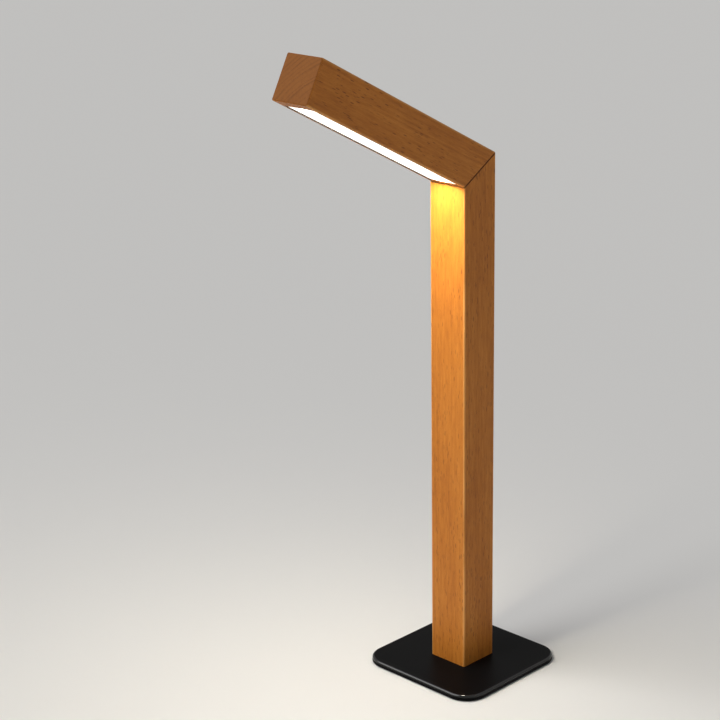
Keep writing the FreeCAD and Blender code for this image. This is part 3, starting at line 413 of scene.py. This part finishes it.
nickel, point = begin("nickel")
rolled = grainy(stretched(point, 9000.0, 300.0, 9000.0), 1.0, 1.0)
welds = 1 - eased(scattered(point, 480.0, 0.1), 0.12, 0.3)
strip_colour = tint(rolled, shown(196, 192, 184), shown(216, 212, 204))
shade(
    nickel,
    Base_Color=tint(welds * 0.6, strip_colour, shown(140, 134, 126)),
    Metallic=1.0,
    Roughness=0.24 + 0.14 * rolled + 0.2 * welds,
    Normal=raised(rolled * 0.2 - welds, 0.06),
)
dress(nickel, "battery_tabs")

# Control board: a strip of glass laminate with green solder mask over etched copper.
# The charger and driver chips, the sockets and the switch are soldered to it.

CUT_EDGE = (8.42, 8.48)

board_laminate, point = begin("board_laminate")
x, _, _ = along(in_millimetres(point))
squares = point.node("TexVoronoi", {"distance": "MANHATTAN", "feature": "F2"},
                     {"Vector": stretched(point, 420.0, 0.0, 300.0), "Scale": 1.0, "Randomness": 0.75})
track = eased(abs(squares - 0.72), 0.02, 0.05)
pads = 1 - eased(scattered(stretched(point, 380.0, 0.0, 380.0), 1.0), 0.10, 0.14)
weave = grainy(point, 2600.0)
cut_edge = eased(abs(x), *CUT_EDGE)
mask_colour = tint(weave * 0.3, tint(track, shown(52, 128, 74), shown(24, 88, 48)), shown(60, 120, 70))
shade(
    board_laminate,
    Base_Color=tint(cut_edge, tint(pads, mask_colour, shown(206, 204, 196)), shown(176, 164, 112)),
    Roughness=0.34 + 0.1 * weave + 0.25 * cut_edge,
    Normal=raised(1 - track, 0.03),
)
dress(board_laminate, "control_board")

chip_plastic, point = begin("chip_plastic")
grit = grainy(point, 5200.0)
flow = grainy(point, 420.0)
shade(
    chip_plastic,
    Base_Color=tint(flow, shown(28, 28, 30), shown(44, 44, 46)),
    Roughness=0.5 + 0.2 * grit,
    Normal=raised(grit, 0.02),
)
dress(chip_plastic, "board_components", "switch_body")

plug_nylon, point = begin("plug_nylon")
milk = grainy(point, 520.0)
shade(
    plug_nylon,
    Base_Color=tint(milk, shown(226, 220, 204), shown(238, 234, 222)),
    Roughness=0.4 + 0.12 * milk,
    Normal=raised(grainy(point, 4200.0), 0.01),
    Subsurface_Weight=0.1,
    Subsurface_Radius=(0.001, 0.0009, 0.0007),
)
dress(plug_nylon, "board_sockets", "battery_plug", "cable_plug", "switch_plunger")

# Charge light: a small white chip soldered to the board, and the pipe that brings its light to the panel.
# The pipe is moulded from clear acrylic with a frosted end, and is pressed into its hole in the panel.
# The row of chips in the light strip is of the same white kind.

PIPE_RIM_SHADE = (0.7, 1.5)

chip_white, point = begin("chip_white")
milk = grainy(point, 1800.0)
shade(
    chip_white,
    Base_Color=tint(milk, shown(236, 222, 150), shown(244, 238, 214)),
    Roughness=0.35 + 0.2 * milk,
    Normal=raised(milk, 0.02),
)
dress(chip_white, "indicator_chip", "led_chips")

light_pipe, point = begin("light_pipe")
x, _, z = along(in_millimetres(point, middle_of("indicator_lens")))
# Painted shade: the pipe's face darkens towards its rim, where the panel's hole shades it.
pipe_rim_shade = eased((x * x + z * z) ** 0.5, *PIPE_RIM_SHADE)
haze = grainy(point, 1600.0)
shade(
    light_pipe,
    Base_Color=tint(pipe_rim_shade, tint(haze, shown(212, 218, 214), shown(230, 235, 231)), shown(84, 90, 88)),
    Roughness=0.18 + 0.2 * haze,
    Normal=raised(haze, 0.01),
    Coat_Weight=0.4,
    Coat_Roughness=0.08,
)
dress(light_pipe, "indicator_lens")

# Charging inlet: a shell folded from thin steel, seamed and nickel plated, round a black moulded tongue.
# The shell's feet are soldered to the board, and its mouth stands in the panel's slot.

usb_steel, point = begin("usb_steel")
drawn = grainy(stretched(point, 5000.0, 260.0, 5000.0), 1.0)
shade(
    usb_steel,
    Base_Color=tint(drawn, shown(186, 188, 190), shown(214, 214, 212)),
    Metallic=1.0,
    Roughness=0.2 + 0.2 * drawn,
    Normal=raised(drawn, 0.01),
)
dress(usb_steel, "usb_shell")

usb_plastic, point = begin("usb_plastic")
grit = grainy(point, 4600.0)
shade(
    usb_plastic,
    Base_Color=tint(grit, shown(22, 22, 24), shown(36, 36, 38)),
    Roughness=0.42 + 0.16 * grit,
    Normal=raised(grit, 0.01),
)
dress(usb_plastic, "usb_tongue")

# Contacts of the charging inlet: two rows of springs stamped from thin copper alloy and plated with gold.
# They are moulded into both faces of the tongue and stand a hair proud of it, for the plug to slide on.

CONTACTS_IN_ROW = 12
CONTACT_PITCH = 0.5
CONTACT_SIZE = (0.27, 3.8, 0.08)
CONTACT_BEVEL = 0.03
TONGUE_MIDDLE = (0.0, 11.4, 33.0)
TONGUE_HALF = 0.35

middle, back, height = TONGUE_MIDDLE
bm = bmesh.new()
for face in (-1, 1):
    for place in range(CONTACTS_IN_ROW):
        spring = bmesh.ops.create_cube(bm, size=MM)["verts"]
        bmesh.ops.scale(bm, vec=CONTACT_SIZE, verts=spring)
        sideways = (place - (CONTACTS_IN_ROW - 1) / 2) * CONTACT_PITCH
        bmesh.ops.translate(bm, verts=spring, vec=(
            (middle + sideways) * MM, back * MM, (height + face * TONGUE_HALF) * MM))
bmesh.ops.bevel(bm, geom=bm.edges[:], offset=CONTACT_BEVEL * MM, affect="EDGES", segments=2, profile=0.5,
                material=-1)
contacts_mesh = bpy.data.meshes.new("usb_contacts")
bm.to_mesh(contacts_mesh)
bm.free()
contacts = bpy.data.objects.new("usb_contacts", contacts_mesh)
bpy.context.scene.collection.objects.link(contacts)

gold_plate, point = begin("gold_plate")
rubbed = grainy(stretched(point, 9000.0, 500.0, 9000.0), 1.0)
shade(
    gold_plate,
    Base_Color=tint(rubbed, shown(236, 196, 110), shown(214, 168, 84)),
    Metallic=1.0,
    Roughness=0.2 + 0.16 * rubbed,
    Normal=raised(rubbed, 0.005),
)
contacts_mesh.materials.append(gold_plate)
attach(contacts, "stand")

# Battery leads and the cable up to the light: stranded copper inside a soft plastic jacket.
# They are cut to length, crimped to their plugs and drawn through the column's channel.

for name, pieces, under, over in (
    ("lead_red", ("battery_lead_positive",), shown(150, 22, 20), shown(182, 36, 30)),
    ("lead_black", ("battery_lead_negative",), shown(20, 20, 21), shown(36, 36, 37)),
    ("cable_jacket", ("cable_lower", "cable_upper"), shown(138, 138, 140), shown(156, 156, 157)),
):
    jacket, point = begin(name)
    drag = grainy(point, 1500.0, 3.0)
    shade(
        jacket,
        Base_Color=tint(drag, under, over),
        Roughness=0.36 + 0.16 * drag,
        Normal=raised(drag, 0.02),
    )
    dress(jacket, *pieces)

# Rear cover: a thin strip of the same beech, let flush into the column's back.
# It is cut from another plank, so its figure doesn't run on from the column's.

dress(beech("beech_cover", origin=(0, 0, 0), turn=(0, 0, 0), middle=(0, 0),
            pith_angle=math.radians(-128.0), log_end=410.0, edges=False), "rear_cover")

# Cover and panel screws: small countersunk screws with a cross recess, of blackened steel.
# They are driven through the cover and the panel into the column, until their heads are flush.

black_screw, point = begin("black_screw")
oxide = grainy(point, 1400.0, 3.0)
shade(
    black_screw,
    Base_Color=tint(oxide, shown(22, 22, 23), shown(48, 46, 44)),
    Metallic=0.6,
    Roughness=0.36 + 0.2 * oxide,
    Normal=raised(oxide, 0.01),
)
dress(black_screw, "rear_cover_screws", "control_panel_screws")

# Control panel: moulded black plastic with a fine spark texture, let into the back below the cover.
# The board is screwed to bosses on its inside.

panel_plastic, point = begin("panel_plastic")
spark = grainy(point, 3200.0, 3.0)
wipe = grainy(point, 90.0, 3.0)
shade(
    panel_plastic,
    Base_Color=tint(wipe, shown(22, 22, 23), shown(31, 31, 32)),
    Roughness=0.52 + 0.14 * wipe,
    Normal=raised(spark, 0.05),
    Specular_IOR_Level=0.4,
)
dress(panel_plastic, "control_panel")

# Power button: a moulded plastic cap with a dished face, rubbed smooth in the middle by the finger.
# A rim behind the panel keeps it in its hole, and it slides in there to work the switch on the board.

FINGER_WEAR = (1.2, 4.4)

button_plastic, point = begin("button_plastic")
x, _, z = along(in_millimetres(point, middle_of("power_button")))
worn = 1 - eased((x * x + z * z) ** 0.5, *FINGER_WEAR)
spark = grainy(point, 3600.0)
shade(
    button_plastic,
    Base_Color=tint(worn * 0.6, shown(52, 52, 54), shown(66, 66, 67)),
    Roughness=0.5 - 0.16 * worn + 0.08 * spark,
    Normal=raised(spark * (1 - 0.7 * worn), 0.03),
)
dress(button_plastic, "power_button")

# Swivel: the steel spindle is screwed into the arm's mitre and runs in the bush in the column's.
# A plastic washer, a disc spring and a nut hold it with a steady drag, so the arm stays where it is put.

slip_plastic, point = begin("slip_plastic")
milk = grainy(point, 700.0)
shade(
    slip_plastic,
    Base_Color=tint(milk, shown(226, 224, 216), shown(240, 238, 232)),
    Roughness=0.3 + 0.16 * milk,
    Normal=raised(grainy(point, 4000.0), 0.01),
)
dress(slip_plastic, "thrust_washer")

steel = shown(200, 201, 203), shown(178, 178, 180)
dress(turned("turned_steel", *steel, rough=0.22, origin=KNEE, turn=MITRE_TURN),
      "swivel_spindle", "swivel_nut", "disc_spring")

# Arm: a second bar of the same beech, mitred to the column and rising from it, with the light let in below.
# Its tip is sawn square and sanded, so the tip shows end grain.

ARM_CORNER = (0.0, -0.015, 0.342)
ARM_TURN = (math.radians(62.0), 0.0, 0.0)
STRIP_GROOVE = (12.5, 3.0, 146.0, 10.0)

dress(beech("beech_arm", origin=ARM_CORNER, turn=ARM_TURN, middle=(0, BAR_HALF),
            pith_angle=math.radians(132.0), log_end=870.0, groove=STRIP_GROOVE), "arm")

# Light strip: an anodised aluminium profile in the arm's underside holds a white board with its chips.
# The profile is extruded, so its faces carry fine lines along its length.

profile_aluminium, point = begin("profile_aluminium")
place = in_millimetres(point, ARM_CORNER, ARM_TURN)
die_lines = grainy(stretched(place, 9.0, 9.0, 0.05), 1.0)
shade(
    profile_aluminium,
    Base_Color=tint(die_lines, shown(196, 198, 200), shown(222, 222, 222)),
    Metallic=1.0,
    Roughness=0.34 + 0.14 * die_lines,
    Normal=raised(die_lines, 0.01),
)
dress(profile_aluminium, "led_profile")

light_board, point = begin("light_board")
ink = grainy(point, 900.0)
shade(
    light_board,
    Base_Color=tint(ink, shown(232, 232, 228), shown(244, 244, 242)),
    Roughness=0.32 + 0.16 * ink,
    Normal=raised(ink, 0.01),
)
dress(light_board, "led_board")

# Diffuser: a strip of opal acrylic, sawn to length and snapped into the profile over the chips.
# It glows most in the middle, over the chips, and less towards its edges and its two ends.

STRIP_HALF = 11.3
KNEE_END = (3.6, 13.0)
TIP_END = (134.0, 144.0)

opal, point = begin("opal")
place = in_millimetres(point, ARM_CORNER, ARM_TURN)
x, _, length = along(place)
over_chips = 1 - eased(abs(x) / STRIP_HALF, 0.1, 0.6)
over_chips = over_chips * eased(length, *KNEE_END) * (1 - eased(length, *TIP_END))
frost = grainy(place, 6.0)
shade(
    opal,
    Base_Color=tint(frost, shown(232, 230, 224), shown(242, 240, 236)),
    Roughness=0.4 + 0.15 * frost,
    Normal=raised(frost, 0.01),
    Emission_Color=tint(over_chips, shown(18, 17, 15), shown(255, 246, 226)),
    Emission_Strength=240.0,
)
dress(opal, "diffuser")

# Studio: a plain pale floor, painted matt, that runs far back to a surround of the same tone.
# One wide soft lamp lights the piece from the front left, and the surround fills its shadows evenly.

FLOOR_REACH = 40.0
FLOOR_COLOUR = shown(226, 225, 223)
BACKDROP_COLOUR = shown(192, 191, 189)
FILL_COLOUR = (1.0, 1.0, 1.0, 1.0)
FILL_LEVEL = 0.29
LAMP_LEVEL = 1.9
LAMP_SPREAD = math.radians(50.0)
LAMP_TURN = (math.radians(48.0), 0.0, math.radians(-35.0))

bm = bmesh.new()
bmesh.ops.create_circle(bm, cap_ends=True, segments=64, radius=FLOOR_REACH)
floor_mesh = bpy.data.meshes.new("floor")
bm.to_mesh(floor_mesh)
bm.free()
floor = bpy.data.objects.new("floor", floor_mesh)
bpy.context.scene.collection.objects.link(floor)
floor_paint, _ = begin("floor_paint")
shade(floor_paint, Base_Color=FLOOR_COLOUR, Roughness=0.9, Specular_IOR_Level=0.1)
floor_mesh.materials.append(floor_paint)

lamp = bpy.data.lights.new("soft_lamp", "SUN")
lamp.energy = LAMP_LEVEL
lamp.angle = LAMP_SPREAD
lamp_object = bpy.data.objects.new("soft_lamp", lamp)
lamp_object.rotation_euler = LAMP_TURN
bpy.context.scene.collection.objects.link(lamp_object)

world = bpy.data.worlds.new("surround")
world.use_nodes = True
bpy.context.scene.world = world
sky = Wire(world.node_tree)
looked_at = sky.node("LightPath", out="Is Camera Ray")
mirrored = looked_at.math("MAXIMUM", looked_at.part("Is Glossy Ray"), looked_at.part("Is Transmission Ray"))
backdrop = sky.node("Background", inputs={"Color": BACKDROP_COLOUR, "Strength": 1.0})
fill = sky.node("Background", inputs={"Color": FILL_COLOUR, "Strength": FILL_LEVEL})
seen = looked_at.math("MAXIMUM", looked_at, mirrored)
mixed = sky.node("MixShader", inputs={"Fac": seen, "Shader": fill, "Shader_001": backdrop})
world.node_tree.links.new(mixed.socket, world.node_tree.nodes["World Output"].inputs["Surface"])

# Camera: it stands to the front right of the lamp and a little above it, and looks down with a long lens.
# The colours go to the screen as they are, with no grading.

CAMERA_PLACE = (0.83486, -0.93605, 0.63794)
CAMERA_TURN = (71.5894, 0.8737, 44.5472)
SENSOR_WIDTH = 36.0
LENS = 99.598

camera = bpy.data.cameras.new("camera")
camera.sensor_width = SENSOR_WIDTH
camera.lens = LENS
camera_object = bpy.data.objects.new("camera", camera)
camera_object.location = CAMERA_PLACE
camera_object.rotation_euler = [math.radians(angle) for angle in CAMERA_TURN]
bpy.context.scene.collection.objects.link(camera_object)
bpy.context.scene.camera = camera_object
bpy.context.scene.view_settings.view_transform = "Standard"
